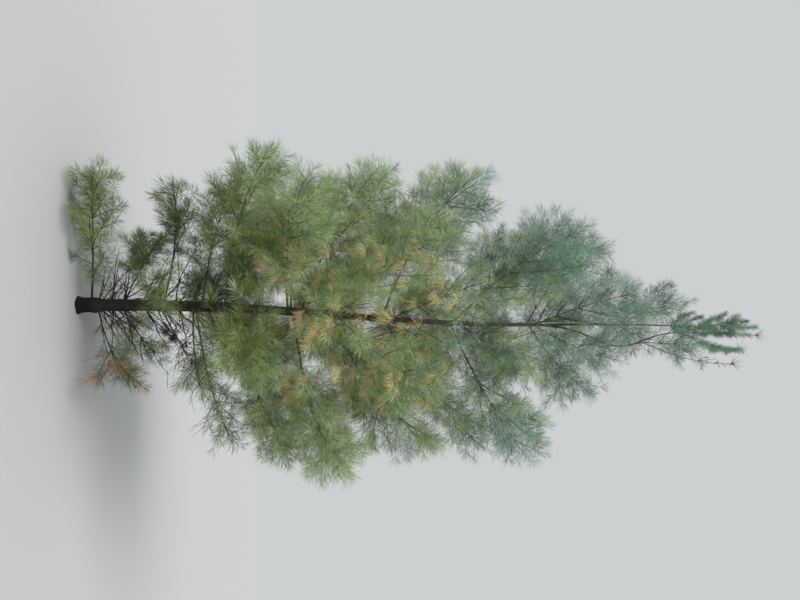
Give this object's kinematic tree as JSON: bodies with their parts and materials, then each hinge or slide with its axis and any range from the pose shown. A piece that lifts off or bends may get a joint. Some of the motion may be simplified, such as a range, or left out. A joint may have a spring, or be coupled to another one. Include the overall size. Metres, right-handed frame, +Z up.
{
  "type": "eastern white pine tree",
  "caption": "Young white pine tree with a slender trunk that forks near the top, whorls of rising boughs and wispy sprays of needles.",
  "frame": {"origin": "middle of the flat cut under the trunk, at ground level", "axes": "+Z up along the trunk, -Y towards the viewer of the picture, +X to the right of the upright picture"},
  "size_m": [2.9799, 2.6164, 6.37],
  "materials": {
    "trunk_bark": "matte",
    "bough_bark": "matte",
    "needles_lower": "matte",
    "needles_upper": "matte"
  },
  "bodies": {
    "root": {"trunk": "trunk_bark", "leader": "trunk_bark", "needles_foot_back": "needles_lower", "needles_foot_left": "needles_lower", "needles_foot_right": "needles_lower", "needles_low_right": "needles_lower", "needles_low_left": "needles_lower", "needles_bare_back_right": "needles_lower", "needles_bare_left": "needles_lower", "needles_bare_front": "needles_lower", "needles_skirt_right": "needles_lower", "needles_skirt_back": "needles_lower", "needles_skirt_left": "needles_lower", "needles_skirt_front_right": "needles_lower", "needles_reach_right": "needles_lower", "needles_reach_back_right": "needles_lower", "needles_reach_back_left": "needles_lower", "needles_reach_left": "needles_lower", "needles_reach_front": "needles_lower", "needles_belt_back": "needles_lower", "needles_belt_back_left": "needles_lower", "bough_belt_left": "bough_bark", "needles_belt_left": "needles_lower", "needles_belt_front_left": "needles_lower", "needles_belt_front": "needles_lower", "needles_belt_front_right": "needles_lower", "bough_belt_right": "bough_bark", "needles_belt_right": "needles_lower", "needles_waist_back_right": "needles_lower", "needles_waist_back_left": "needles_lower", "bough_waist_front_left": "bough_bark", "needles_waist_front_left": "needles_lower", "needles_waist_front_right": "needles_lower", "needles_waist_right": "needles_lower", "needles_chest_back": "needles_lower", "bough_chest_left": "bough_bark", "needles_chest_left": "needles_lower", "needles_chest_front": "needles_lower", "needles_chest_right": "needles_lower", "needles_shoulder_back": "needles_upper", "needles_shoulder_left": "needles_upper", "bough_shoulder_front_left": "bough_bark", "needles_shoulder_front_left": "needles_upper", "needles_shoulder_front_right": "needles_upper", "bough_shoulder_right": "bough_bark", "needles_shoulder_right": "needles_upper", "needles_neck_right": "needles_upper", "needles_neck_back": "needles_upper", "needles_neck_left": "needles_upper", "needles_neck_front_left": "needles_upper", "needles_neck_front_right": "needles_upper", "needles_straight_back_right": "needles_upper", "needles_straight_back_left": "needles_upper", "needles_straight_left": "needles_upper", "needles_crook_right": "needles_upper", "needles_crook_front": "needles_upper", "needles_spire_right": "needles_upper", "needles_spire_front_left": "needles_upper", "needles_straight_top": "needles_upper", "needles_crook_top": "needles_upper"}
  },
  "joints": []
}
